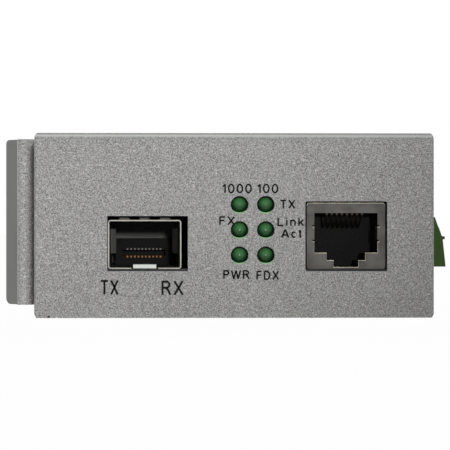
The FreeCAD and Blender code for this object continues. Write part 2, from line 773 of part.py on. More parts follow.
def plug_housing():
    half = hollow_y - nose_gap
    body_half = poles * pole_pitch / 2 + 0.3
    b = board_top
    nose_low, nose_high = b + header_wall + nose_gap, b + header_height - header_wall - nose_gap
    nose = block(nose_start, shoulder + 1, terminal_y - half, terminal_y + half, nose_low, nose_high)
    w = half_width
    outline = [(shoulder, b - plug_low), (w + plug_foot_reach, b - plug_low),
               (w + plug_face_reach, b + plug_ridge_low), (w + plug_ridge_reach, b + plug_ridge_low),
               (w + plug_ridge_reach, b + plug_ridge_high), (w + plug_slope_reach, b + plug_ridge_high),
               (w + plug_top_reach, b + plug_top), (shoulder, b + plug_top)]
    body = prism([vec(x, terminal_y - body_half, z) for x, z in outline], vec(0, 2 * body_half, 0))
    body = joined([nose, body])
    cuts = []
    for side in (-1, 1):
        end = terminal_y + side * body_half
        inner = end - side * plug_ledge
        cuts.append(block(shoulder - 1, w + 20, min(end, inner), max(end, inner), b + plug_ledge_height,
                          b + plug_top + 1))
    room_x = clamp_length / 2 + clamp_gap
    room_y = clamp_width / 2 + 0.15
    for y in pole_lines:
        cuts.append(block(nose_start - 1, clamp_line, y - 1.0, y + 1.0, pin_line - 1.15, bar_top + 0.15))
        cuts.append(block(clamp_line - room_x, clamp_line + room_x, y - room_y, y + room_y,
                          clamp_foot - 0.1, chamber_top))
        cuts.append(rod(clamp_line, y, chamber_top - 1, clamp_screw_radius + 0.15, 8.0, (0, 0, 1)))
        cuts.append(rod(clamp_line, y, head_foot - 0.05, clamp_head_radius + 0.1, 8.0, (0, 0, 1)))
        low = clamp_foot + clamp_floor - 0.1
        cuts.append(block(clamp_line, w + 20, y - wire_entry_width / 2, y + wire_entry_width / 2,
                          low, low + wire_entry_height))
    return body.cut(cuts)


def plug_contacts():
    solids = []
    half = terminal_bar_width / 2
    arm = 0.3
    reach = header_pin / 2 + 0.05
    bar_end = clamp_line + clamp_length / 2 + 0.15
    for y in pole_lines:
        low = pin_line - reach - arm
        solids.append(joined([
            block(nose_start + 0.6, shoulder + 0.6, y - 0.8, y + 0.8, low, low + arm),
            block(nose_start + 0.6, shoulder + 0.6, y - 0.8, y + 0.8, pin_line + reach, pin_line + reach + arm),
            block(shoulder + 0.3, shoulder + 0.7, y - 0.8, y + 0.8, low, bar_top),
            block(shoulder + 0.3, bar_end, y - half, y + half, bar_foot, bar_top)]))
    return solids


def clamp_screw(y):
    top = head_foot + clamp_head_height
    head = rod(clamp_line, y, head_foot, clamp_head_radius, clamp_head_height, (0, 0, 1))
    shank = rod(clamp_line, y, screw_tip, clamp_screw_radius, head_foot - screw_tip + 0.2, (0, 0, 1))
    slot = block(clamp_line - 3, clamp_line + 3, y - driver_slot / 2, y + driver_slot / 2, top - 0.8, top + 1)
    return joined([head, shank]).cut(slot)


def wire_clamp(y):
    long_half, wide_half = clamp_length / 2, clamp_width / 2
    body = block(clamp_line - long_half, clamp_line + long_half, y - wide_half, y + wide_half,
                 clamp_foot, clamp_foot + clamp_height)
    window = block(clamp_line - long_half - 1, clamp_line + long_half + 1, y - wide_half + clamp_wall,
                   y + wide_half - clamp_wall, clamp_foot + clamp_floor,
                   clamp_foot + clamp_floor + clamp_window)
    bore = rod(clamp_line, y, clamp_foot + clamp_height - clamp_roof - 0.5, clamp_screw_radius + screw_gap,
               clamp_roof + 1, (0, 0, 1))
    return body.cut([window, bore])


# Rail bracket: a plate stood off the left wall, with the fixed front hook.
plate_inner = -half_width - bracket_standoff
plate_outer = plate_inner - bracket_sheet
lip_outer = plate_outer - rail_gap - bracket_sheet
hook_face = rail_y - rail_width / 2 - hook_play - bracket_sheet
flare_back = hook_flare_out / math.tan(math.radians(hook_flare_angle))


def din_bracket():
    lip_end = hook_face + hook_lip
    path = [(lip_outer - hook_flare_out, lip_end + flare_back), (lip_outer, lip_end), (lip_outer, hook_face),
            (plate_inner - hook_facet_out, hook_face), (plate_inner, hook_face + hook_facet_back),
            (plate_inner, rail_y + bracket_back)]
    plate = folded(path, bracket_sheet, bracket_bend, lambda x, y: vec(x, y, bracket_low),
                   vec(0, 0, bracket_height))
    lean = math.radians(hook_flare_angle)
    across = vec(math.cos(lean), math.sin(lean), 0)
    tips = [edge for edge in long_edges(plate, across)
            if edge.CenterOfMass.x < lip_outer - hook_flare_out + 1.0]
    low = [edge for edge in tips if edge.CenterOfMass.z < bracket_middle]
    plate = plate.makeFillet(hook_low_corner, low)
    high = [edge for edge in long_edges(plate, across)
            if edge.CenterOfMass.x < lip_outer - hook_flare_out + 1.0
            and edge.CenterOfMass.z > bracket_low + bracket_height - 0.01]
    plate = plate.makeFillet(hook_high_corner, high)
    bosses = [rod(plate_inner - 0.3, y, z, boss_radius, bracket_standoff + 0.3, (1, 0, 0))
              for y, z in bracket_screw_spots]
    bosses += [rod(plate_inner - 0.3, y, bracket_middle, guide_radius, bracket_standoff + 0.3, (1, 0, 0))
               for y in (rail_y - guide_front, rail_y + guide_back)]
    plate = joined([plate] + bosses)
    notch = block(plate_outer - 1, plate_inner + 1, rail_y + rail_width / 2 - 0.3, rail_y + bracket_back + 1,
                  bracket_middle - latch_hook_width / 2 - 0.4, bracket_middle + latch_hook_width / 2 + 0.4)
    return plate.cut([notch] + [flat_hole(plate_outer, y, z, (1, 0, 0)) for y, z in bracket_screw_spots])


slide_inner = -half_width - latch_gap
slide_outer = slide_inner - latch_sheet
latch_face = rail_y + rail_width / 2 + latch_play + latch_sheet
window_front = rail_y - guide_front + guide_radius + 2.4
window_back = rail_y + guide_back + guide_radius + 0.7


def din_latch():
    half = latch_width / 2
    low, high = bracket_middle - half, bracket_middle + half
    flat = soft_block(slide_outer, slide_inner, rail_y - latch_front, rail_y + latch_back, low, high, 1.5, (1, 0, 0))
    hook_half = latch_hook_width / 2
    hook_low, hook_high = bracket_middle - hook_half, bracket_middle + hook_half
    flat = flat.cut(block(slide_outer - 1, slide_inner + 1, latch_face - latch_sheet - bracket_bend,
                          latch_face + latch_window, hook_low - 0.3, hook_high + 0.3))
    flare = latch_flare_out / math.tan(math.radians(hook_flare_angle))
    path = [(slide_inner, latch_face - latch_sheet - 3.0), (slide_inner, latch_face), (lip_outer, latch_face),
            (lip_outer, latch_face - latch_lip), (lip_outer - latch_flare_out, latch_face - latch_lip - flare)]
    hook = folded(path, latch_sheet, bracket_bend, lambda x, y: vec(x, y, hook_low), vec(0, 0, latch_hook_width))
    body = joined([flat, hook])
    guide = rail_y - guide_front
    slot_half = guide_radius + guide_gap
    cuts = [block(slide_outer - 1, slide_inner + 1, guide - latch_travel - guide_radius - 0.2,
                  guide + slot_half, bracket_middle - slot_half, bracket_middle + slot_half),
            block(slide_outer - 1, slide_inner + 1, window_front, window_back,
                  bracket_middle - spring_room, bracket_middle + spring_room)]
    return body.cut(cuts)


def latch_spring():
    start = window_front + 0.05
    end = rail_y + guide_back - guide_radius - 0.05
    pitch = (end - start - spring_leaf) / spring_turns
    swing = spring_room - 0.8
    path = [(start, bracket_middle - 1.0), (start, bracket_middle + swing)]
    up = True
    for n in range(1, spring_turns):
        y = start + n * pitch
        ends = (swing, -swing) if up else (-swing, swing)
        path.append((y, bracket_middle + ends[0]))
        path.append((y, bracket_middle + ends[1]))
        up = not up
    last = end - spring_leaf
    path.append((last, bracket_middle + (swing if up else -swing)))
    path.append((last, bracket_middle + (-1.0 if up else 1.0)))
    near = rounded(path, [pitch / 2 - 0.02] * (len(path) - 2))
    spine = []
    for run in near:
        points = [vec(0, u, v) for u, v in run]
        spine.append(Part.LineSegment(*points).toShape() if len(points) == 2 else Part.Arc(*points).toShape())
    middle = plate_inner + bracket_standoff / 2
    wire = Part.Wire(spine)
    wire.translate(vec(middle, spring_leaf / 2, 0))
    first = wire.Vertexes[0].Point
    section = Part.Wire([Part.Circle(first, vec(0, 0, 1), spring_leaf / 2).toShape()])
    return wire.makePipeShell([section], True, False, 2)


# The board, with a hole for everything that passes through it.
def circuit_board():
    side = wall_inner - board_side_gap
    start = front + 2 * sheet + board_front_gap
    board = block(-side, side, start, back - sheet - board_back_gap, board_foot, board_top)
    holes = [(x, y, m3_radius + 0.1) for x, y in standoff_spots]
    holes += [(x, y, 0.5) for x, y in cage_pin_spots]
    holes += [(x, jack_tail_y, 0.4) for x in jack_wires]
    holes += [(jack_x + offset, jack_peg_y, jack_peg_radius + 0.05) for offset in mirrored(jack_peg_spread / 2)]
    holes += [(jack_x + offset, jack_shield_leg_y, 0.95) for offset in mirrored(jack_width / 2 - jack_sheet / 2)]
    holes += [(x + lead, y, 0.42) for x in lamp_columns for row, y in lead_columns
              for lead in mirrored(lamp_lead_spread / 2)]
    holes += [(pin_back_x + header_pin / 2, y, 0.8) for y in pole_lines]
    for x, y, spread in can_spots:
        holes += [(x + lead, y, 0.4) for lead in mirrored(spread / 2)]
    return board.cut([rod(x, y, board_foot - 1, radius, board_thickness + 2, (0, 0, 1)) for x, y, radius in holes])


# Parts soldered to the board behind the ports.
fuse_y = terminal_y + header_y + fuse_behind_header
input_can = (half_width - input_can_from_side, fuse_y + input_can_behind_fuse, input_can_leads)
output_can = (half_width - output_can_from_side, back - output_can_from_back, output_can_leads)
can_spots = [input_can, output_can]


def capacitor(spot, radius, height):
    x, y, spread = spot
    low = board_top + can_groove_up
    can = rod(x, y, board_top, radius, height, (0, 0, 1))
    groove = rod(x, y, low, radius + 1, can_groove_height, (0, 0, 1)).cut(
        rod(x, y, low, radius - can_groove_depth, can_groove_height, (0, 0, 1)))
    leads = [rod(x + lead, y, pin_tip, can_lead_radius, board_top - pin_tip + 0.5, (0, 0, 1))
             for lead in mirrored(spread / 2)]
    return joined([can.cut(groove)] + leads)


def flat_part(x, y, size, radius):
    length, width, height = size
    return soft_block(x - length / 2, x + length / 2, y - width / 2, y + width / 2, board_top,
                      board_top + height, radius, (0, 0, 1))


# One leg of a chip, standing out of its side along X or Y.
def chip_leg(x, y, out_x, out_y):
    half_x = chip_leg_reach / 2 if out_x else chip_leg_width / 2
    half_y = chip_leg_reach / 2 if out_y else chip_leg_width / 2
    x += out_x * (half_x - chip_leg_root)
    y += out_y * (half_y - chip_leg_root)
    return block(x - half_x, x + half_x, y - half_y, y + half_y, board_top, board_top + chip_leg_height)


# A chip with its bevelled rim, its dimple and a row of legs on two or four sides.
def chip(x, y, size, legs, four_sided):
    length, width, height = size
    half_l, half_w = length / 2, width / 2
    body = block(x - half_l, x + half_l, y - half_w, y + half_w, board_top + chip_stand, board_top + height)
    top_edges = [edge for edge in body.Edges if edge.CenterOfMass.z > board_top + height - 0.01]
    body = body.makeChamfer(min(0.3, height / 4), top_edges)
    dimple = rod(x - half_l + 1.2, y - half_w + 1.2, board_top + height - 0.1, 0.45, 1, (0, 0, 1))
    solids = [body.cut(dimple)]
    for n in range(legs):
        along = (n / (legs - 1) - 0.5) * 2
        for side in (-1, 1):
            solids.append(chip_leg(x + along * (half_l - chip_leg_inset), y + side * half_w, 0, side))
            if four_sided:
                solids.append(chip_leg(x + side * half_l, y + along * (half_w - chip_leg_inset), side, 0))
    return joined(solids)


save("front_cover", [front_cover()])
save("base_tray", [base_tray()])
save("case_screws", [flat_screw(x, y, body_height - head_sink, case_screw_length, (0, 0, -1))
                     for x, y in case_screw_spots])
save("circuit_board", [circuit_board()])
save("board_standoffs", [standoff(x, y) for x, y in standoff_spots])
save("board_screws", [board_screw(x, y) for x, y in standoff_spots])

save("fibre_cage", [sfp_cage()])
save("fibre_connector", [sfp_connector()])
save("fibre_contacts", sfp_contacts())
save("copper_jack_shield", [rj45_shield()])
save("copper_jack_insert", [rj45_insert()])
save("copper_jack_wires", rj45_contacts())

save("lamp_holder", [led_holder()])
for row, height_name in enumerate(("low", "middle", "high")):
    for x, side_name in zip(lamp_columns, ("left", "right")):
        save("lamp_%s_%s" % (height_name, side_name), [lamp(x, lamp_rows[row])])
save("lamp_leads", led_leads())

save("terminal_header", [terminal_header()])
save("header_pins", header_pins())
save("plug_housing", [plug_housing()])
save("plug_contacts", plug_contacts())
for number, y in enumerate(pole_lines, 1):
    save("clamp_screw_%d" % number, [clamp_screw(y)])
    save("wire_clamp_%d" % number, [wire_clamp(y)])

save("rail_bracket", [din_bracket()])
save("bracket_screws", [flat_screw(plate_outer + head_sink, y, z, bracket_screw_length, (1, 0, 0))
                        for y, z in bracket_screw_spots])
save("rail_latch", [din_latch()])
save("latch_spring", [latch_spring()])

save("converter_chip", [chip((cage_x + jack_x) / 2 - converter_aside, front + converter_from_front,
                             converter_size, 12, True)])
save("copper_driver_chip", [chip(jack_x - driver_from_jack, jack_back + driver_behind_jack, driver_size, 8,
                                 True)])
save("setting_memory_chip", [chip(half_width - memory_from_side, memory_behind_middle, memory_size, 4, False)])
save("regulator_chip", [chip(half_width - regulator_from_side, back - regulator_from_back, regulator_size, 5,
                             False)])
save("line_transformer", [chip(jack_x, jack_back + transformer_behind_jack, transformer_size, 8, False)])
save("crystal_can", [flat_part(half_width - crystal_from_side, crystal_behind_middle, crystal_size, 2.2)])
save("power_choke", [flat_part(half_width - choke_from_side, back - choke_from_back, choke_size, 2.5)])
save("input_capacitor", [capacitor(input_can, input_can_radius, input_can_height)])
save("output_capacitor", [capacitor(output_can, output_can_radius, output_can_height)])
save("input_fuse", [flat_part(half_width - fuse_from_side, fuse_y, fuse_size, 0.6)])
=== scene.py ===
import bpy
import bmesh
import math
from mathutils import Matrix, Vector


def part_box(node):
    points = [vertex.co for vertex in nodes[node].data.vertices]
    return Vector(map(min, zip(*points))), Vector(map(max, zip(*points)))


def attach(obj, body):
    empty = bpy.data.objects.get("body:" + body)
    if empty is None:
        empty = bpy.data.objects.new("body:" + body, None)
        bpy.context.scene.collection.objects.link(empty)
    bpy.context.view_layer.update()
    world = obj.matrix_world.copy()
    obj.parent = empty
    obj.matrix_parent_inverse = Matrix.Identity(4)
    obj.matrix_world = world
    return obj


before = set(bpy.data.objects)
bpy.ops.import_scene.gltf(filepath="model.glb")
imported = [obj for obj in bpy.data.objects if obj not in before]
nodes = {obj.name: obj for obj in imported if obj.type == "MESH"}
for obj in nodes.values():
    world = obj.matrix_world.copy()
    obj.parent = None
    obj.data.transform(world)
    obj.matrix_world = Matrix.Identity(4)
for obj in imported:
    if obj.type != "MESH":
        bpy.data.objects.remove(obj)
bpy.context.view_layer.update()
scene = bpy.context.scene
scene.view_settings.view_transform = "Standard"
mm = 0.001
coverLow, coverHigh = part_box("front_cover")
faceY = coverLow.y          # the port face
bodyTop = coverHigh.z
print("frame loaded:", len(nodes), "nodes")


cameraValues = {
    "distance": 0.383,      # from the port face
    "standAcross": -0.01954,
    "turn": 1.5,            # degrees to the right
    "height": 0.01807,
    "lens": 153.5,
    "slideX": 0.0843, "slideY": 0.0055,
    "sensor": 36.0, "nearest": 0.01, "farthest": 20.0,
}


def makeCamera(values):
    data = bpy.data.cameras.new("camera")
    data.lens = values["lens"]
    data.sensor_width = values["sensor"]
    data.clip_start = values["nearest"]
    data.clip_end = values["farthest"]
    data.shift_x = values["slideX"]
    data.shift_y = values["slideY"]
    camera = bpy.data.objects.new("camera", data)
    scene.collection.objects.link(camera)
    camera.location = (values["standAcross"], faceY - values["distance"], values["height"])
    camera.rotation_euler = (math.radians(90), 0, math.radians(-values["turn"]))
    scene.camera = camera


makeCamera(cameraValues)
print("camera set")


def addNode(tree, kind, x, y, **settings):
    node = tree.nodes.new(kind)
    node.location = (x, y)
    for name, value in settings.items():
        setattr(node, name, value)
    return node


def calc(tree, operation, x, y, first, second=None, third=None, clamp=False):
    node = addNode(tree, "ShaderNodeMath", x, y, operation=operation, use_clamp=clamp)
    for socket, value in zip(node.inputs, (first, second, third)):
        if value is None:
            continue
        if isinstance(value, (int, float)):
            socket.default_value = value
        else:
            tree.links.new(value, socket)
    return node.outputs[0]


def mixColour(tree, x, y, factor, first, second):
    node = addNode(tree, "ShaderNodeMix", x, y, data_type="RGBA", blend_type="MIX")
    for socket, value in ((node.inputs[0], factor), (node.inputs[6], first), (node.inputs[7], second)):
        if isinstance(value, (int, float, tuple)):
            socket.default_value = value
        else:
            tree.links.new(value, socket)
    return node.outputs[2]


def noise(tree, x, y, vector, scale, detail=2.0, roughness=0.5):
    node = addNode(tree, "ShaderNodeTexNoise", x, y)
    node.inputs["Detail"].default_value = detail
    node.inputs["Roughness"].default_value = roughness
    tree.links.new(vector, node.inputs["Vector"])
    if isinstance(scale, (int, float)):
        node.inputs["Scale"].default_value = scale
    else:
        tree.links.new(scale, node.inputs["Scale"])
    return node.outputs["Fac"]


def newGroup(name, inputs, outputs):
    group = bpy.data.node_groups.new(name, "ShaderNodeTree")
    for label, kind, value in inputs:
        socket = group.interface.new_socket(name=label, in_out="INPUT", socket_type=kind)
        socket.default_value = value
    for label, kind in outputs:
        group.interface.new_socket(name=label, in_out="OUTPUT", socket_type=kind)
    start = addNode(group, "NodeGroupInput", -1200, 0)
    end = addNode(group, "NodeGroupOutput", 900, 0)
    place = addNode(group, "ShaderNodeTexCoord", -1200, 400)
    return group, start.outputs, end.inputs, place.outputs["Object"]


colourKind, floatKind, vectorKind = "NodeSocketColor", "NodeSocketFloat", "NodeSocketVector"


# Powder coat: a fine light and dark grain, a few bright flecks, faint clouds.
def buildPowderCoat():
    group, have, give, place = newGroup("powderCoat", [
        ("Base Colour", colourKind, (0.35, 0.35, 0.34, 1)),
        ("Grain Size", floatKind, 0.25),
        ("Grain Strength", floatKind, 0.3),
        ("Fleck Strength", floatKind, 0.3),
        ("Cloud Strength", floatKind, 0.06)],
        [("Colour", colourKind), ("Roughness", floatKind), ("Height", floatKind)])
    t = group
    scale = calc(t, "DIVIDE", -1000, 200, 1000.0, have["Grain Size"])
    fine = noise(t, -800, 300, place, scale, 3.0, 0.6)
    flecks = noise(t, -800, 60, place, calc(t, "MULTIPLY", -1000, 60, scale, 0.63), 1.0)
    clouds = noise(t, -800, -160, place, 45.0, 3.0)
    grain = calc(t, "MULTIPLY", -400, 300, calc(t, "SUBTRACT", -600, 300, fine, 0.5), have["Grain Strength"])
    peaks = calc(t, "SMOOTH_MAX", -600, 60, calc(t, "SUBTRACT", -620, 60, flecks, 0.6), 0.0, 0.02)
    bright = calc(t, "MULTIPLY", -400, 60, peaks, have["Fleck Strength"])
    cloudy = calc(t, "MULTIPLY", -400, -160, calc(t, "SUBTRACT", -600, -160, clouds, 0.5), have["Cloud Strength"])
    total = calc(t, "ADD", -200, 200, calc(t, "ADD", -300, 200, grain, bright), cloudy)
    gain = calc(t, "ADD", 0, 200, calc(t, "MULTIPLY", -100, 200, total, 2.0), 1.0)
    scaled = addNode(t, "ShaderNodeVectorMath", 200, 200, operation="SCALE")
    t.links.new(have["Base Colour"], scaled.inputs[0])
    t.links.new(gain, scaled.inputs["Scale"])
    t.links.new(scaled.outputs[0], give["Colour"])
    t.links.new(calc(t, "ADD", 200, 0, calc(t, "MULTIPLY", 0, 0, fine, -0.25), 0.66), give["Roughness"])
    t.links.new(calc(t, "ADD", 200, -200, fine, calc(t, "MULTIPLY", 0, -200, flecks, 0.5)), give["Height"])
    return group


# Drawn or brushed metal: long thin streaks one way, with soft tarnish.
def buildBrushed():
    group, have, give, place = newGroup("drawnMetal", [
        ("Base Colour", colourKind, (0.6, 0.6, 0.58, 1)),
        ("Tarnish Colour", colourKind, (0.3, 0.28, 0.24, 1)),
        ("Line Size", floatKind, 0.1),
        ("Line Strength", floatKind, 0.2),
        ("Tarnish", floatKind, 0.2),
        ("Base Roughness", floatKind, 0.3)],
        [("Colour", colourKind), ("Roughness", floatKind), ("Height", floatKind)])
    t = group
    stretch = addNode(t, "ShaderNodeMapping", -1000, 400)
    stretch.inputs["Scale"].default_value = (1.0, 0.06, 1.0)
    t.links.new(place, stretch.inputs["Vector"])
    scale = calc(t, "DIVIDE", -1000, 100, 1000.0, have["Line Size"])
    lines = noise(t, -800, 300, stretch.outputs[0], scale, 2.0)
    patches = noise(t, -800, 0, place, 260.0, 4.0, 0.6)
    stain = calc(t, "MULTIPLY", -400, 0, calc(t, "SUBTRACT", -600, 0, patches, 0.42, clamp=True), have["Tarnish"])
    stain = calc(t, "MULTIPLY", -300, 0, stain, 4.0, clamp=True)
    gain = calc(t, "ADD", -200, 300, calc(t, "MULTIPLY", -400, 300, calc(t, "SUBTRACT", -600, 300, lines, 0.5),
                                          have["Line Strength"]), 1.0)
    scaled = addNode(t, "ShaderNodeVectorMath", 0, 300, operation="SCALE")
    t.links.new(have["Base Colour"], scaled.inputs[0])
    t.links.new(gain, scaled.inputs["Scale"])
    t.links.new(mixColour(t, 300, 200, stain, scaled.outputs[0], have["Tarnish Colour"]), give["Colour"])
    rough = calc(t, "ADD", 200, -100, have["Base Roughness"], calc(t, "MULTIPLY", 0, -100, stain, 0.3))
    t.links.new(calc(t, "ADD", 400, -100, rough, calc(t, "MULTIPLY", 200, -300, lines, 0.12)), give["Roughness"])
    t.links.new(lines, give["Height"])
    return group


# Moulded plastic: a fine spark-eroded skin with faint flow marks and a little dust.
def buildMoulded():
    group, have, give, place = newGroup("mouldedPlastic", [
        ("Base Colour", colourKind, (0.03, 0.03, 0.03, 1)),
        ("Dust Colour", colourKind, (0.3, 0.3, 0.28, 1)),
        ("Grain Size", floatKind, 0.12),
        ("Flow Strength", floatKind, 0.2),
        ("Dust", floatKind, 0.05),
        ("Base Roughness", floatKind, 0.45)],
        [("Colour", colourKind), ("Roughness", floatKind), ("Height", floatKind)])
    t = group
    scale = calc(t, "DIVIDE", -1000, 200, 1000.0, have["Grain Size"])
    skin = noise(t, -800, 300, place, scale, 2.0)
    flow = noise(t, -800, 60, place, 180.0, 3.0)
    specks = noise(t, -800, -160, place, 2600.0, 2.0)
    gain = calc(t, "ADD", -200, 60, calc(t, "MULTIPLY", -400, 60, calc(t, "SUBTRACT", -600, 60, flow, 0.5),
                                         have["Flow Strength"]), 1.0)
    scaled = addNode(t, "ShaderNodeVectorMath", 0, 200, operation="SCALE")
    t.links.new(have["Base Colour"], scaled.inputs[0])
    t.links.new(gain, scaled.inputs["Scale"])
    motes = calc(t, "MULTIPLY", -400, -160, calc(t, "SUBTRACT", -600, -160, specks, 0.55, clamp=True), 6.0)
    dusty = calc(t, "MULTIPLY", -200, -160, motes, have["Dust"], clamp=True)
    t.links.new(mixColour(t, 300, 200, dusty, scaled.outputs[0], have["Dust Colour"]), give["Colour"])
    rough = calc(t, "ADD", 300, -100, have["Base Roughness"], calc(t, "MULTIPLY", 0, -100, skin, 0.15))
    t.links.new(rough, give["Roughness"])
    t.links.new(skin, give["Height"])
    return group


# Where a point lies between two lines, along each axis: 0 at the first, 1 at the second.
def buildPlaceMask():
    group, have, give, place = newGroup("placeMask", [
        ("Near", floatKind, -50.0), ("Far", floatKind, -40.0)],
        [("Across", floatKind), ("Inward", floatKind), ("Upward", floatKind)])
    t = group
    split = addNode(t, "ShaderNodeSeparateXYZ", -900, 400)
    t.links.new(place, split.inputs[0])
    span = calc(t, "SUBTRACT", -700, 200, have["Far"], have["Near"])
    for axis, label, y in (("X", "Across", 700), ("Y", "Inward", 400), ("Z", "Upward", -200)):
        spot = calc(t, "MULTIPLY", -700, y, split.outputs[axis], 1000.0)
        part = calc(t, "DIVIDE", -300, y, calc(t, "SUBTRACT", -500, y, spot, have["Near"]), span, clamp=True)
        t.links.new(part, give[label])
    return group


# 1 inside a box given by two corners in millimetres, 0 outside it.
def buildBoxMask():
    group, have, give, place = newGroup("boxMask", [
        ("Low", vectorKind, (-1.0, -1.0, -1.0)), ("High", vectorKind, (1.0, 1.0, 1.0))], [("Mask", floatKind)])
    t = group
    spot = addNode(t, "ShaderNodeVectorMath", -1000, 400, operation="SCALE")
    t.links.new(place, spot.inputs[0])
    spot.inputs["Scale"].default_value = 1000.0
    parts = []
    for y, vector in ((400, spot.outputs[0]), (100, have["Low"]), (-200, have["High"])):
        split = addNode(t, "ShaderNodeSeparateXYZ", -800, y)
        t.links.new(vector, split.inputs[0])
        parts.append(split.outputs)
    total = None
    for number in range(3):
        over = calc(t, "GREATER_THAN", -500, 400 - 200 * number, parts[0][number], parts[1][number])
        under = calc(t, "LESS_THAN", -500, 300 - 200 * number, parts[0][number], parts[2][number])
        both = calc(t, "MULTIPLY", -300, 400 - 200 * number, over, under)
        total = both if total is None else calc(t, "MULTIPLY", -100, 400 - 200 * number, total, both)
    t.links.new(total, give["Mask"])
    return group


# Where two faces meet at an edge, and the part of it that looks up.
def buildEdgeMask():
    group, have, give, place = newGroup("edgeMask", [("Strength", floatKind, 4.0), ("Reach", floatKind, 0.3)],
                                        [("Mask", floatKind), ("Upper", floatKind)])
    t = group
    soft = addNode(t, "ShaderNodeBevel", -900, 300, samples=6)
    t.links.new(calc(t, "MULTIPLY", -1000, 300, have["Reach"], 0.001), soft.inputs["Radius"])
    facing = addNode(t, "ShaderNodeNewGeometry", -900, 100)
    dot = addNode(t, "ShaderNodeVectorMath", -700, 200, operation="DOT_PRODUCT")
    t.links.new(soft.outputs[0], dot.inputs[0])
    t.links.new(facing.outputs["Normal"], dot.inputs[1])
    away = calc(t, "SUBTRACT", -500, 200, 1.0, dot.outputs["Value"], clamp=True)
    mask = calc(t, "MULTIPLY", -300, 200, away, have["Strength"], clamp=True)
    split = addNode(t, "ShaderNodeSeparateXYZ", -500, -100)
    t.links.new(soft.outputs[0], split.inputs[0])
    upper = calc(t, "MULTIPLY", -300, -100, split.outputs["Z"], 2.5, clamp=True)
    t.links.new(mask, give["Mask"])
    t.links.new(calc(t, "MULTIPLY", -100, 0, mask, upper), give["Upper"])
    return group


# Faces that lean a little towards the port side, such as springs, and folds that turn upwards.
def buildLeanMask():
    group, have, give, place = newGroup("leanMask", [
        ("Least", floatKind, 0.06), ("Most", floatKind, 0.45), ("Span", floatKind, 0.08)],
        [("Forward", floatKind), ("Upward", floatKind)])
    t = group
    facing = addNode(t, "ShaderNodeNewGeometry", -900, 100)
    split = addNode(t, "ShaderNodeSeparateXYZ", -700, 100)
    t.links.new(facing.outputs["Normal"], split.inputs[0])
    for axis, sign, label, y in (("Y", -1.0, "Forward", 300), ("Z", 1.0, "Upward", -300)):
        lean = calc(t, "MULTIPLY", -500, y, split.outputs[axis], sign)
        rise = calc(t, "DIVIDE", -100, y, calc(t, "SUBTRACT", -300, y, lean, have["Least"]), have["Span"], clamp=True)
        drop = calc(t, "DIVIDE", -100, y - 100, calc(t, "SUBTRACT", -300, y - 100, have["Most"], lean), have["Span"],
                    clamp=True)
        t.links.new(calc(t, "MULTIPLY", 200, y, rise, drop), give[label])
    return group


powderCoat = buildPowderCoat()
drawnMetal = buildBrushed()
mouldedPlastic = buildMoulded()
placeMask = buildPlaceMask()
boxMask = buildBoxMask()
edgeMask = buildEdgeMask()
leanMask = buildLeanMask()
print("shader groups built")


def newMaterial(name):
    material = bpy.data.materials.new(name)
    material.use_nodes = True
    tree = material.node_tree
    shader = tree.nodes["Principled BSDF"]
    return material, tree, shader


def placeGroup(tree, group, x, y, **values):
    node = addNode(tree, "ShaderNodeGroup", x, y, node_tree=group)
    for label, value in values.items():
        node.inputs[label.replace("_", " ")].default_value = value
    return node


def addBump(tree, shader, height, distance, strength):
    bump = addNode(tree, "ShaderNodeBump", -200, -300)
    bump.inputs["Distance"].default_value = distance
    bump.inputs["Strength"].default_value = strength
    tree.links.new(height, bump.inputs["Height"])
    tree.links.new(bump.outputs["Normal"], shader.inputs["Normal"])


paintValues = {
    "colour": (0.33, 0.327, 0.32, 1),
    # painted highlight: edges and folds that face upward are mixed towards this paler colour
    "upperEdgeHighlight": (0.70, 0.73, 0.70, 1),
    "edgeStrength": 5.0, "edgeReach": 0.16,
    "grainSize": 0.22, "grainStrength": 1.9, "fleckStrength": 2.8, "cloudStrength": 0.12,
    "specular": 0.35, "bump": 0.5,
    "chipPlace": (-0.0371, -0.050, 0.0002), "chipRadius": 0.00028, "chipColour": (0.02, 0.02, 0.02, 1),
    "foldLeast": 0.35, "foldMost": 0.95, "foldSpan": 0.3, "bumpHeight": 0.00004,
}


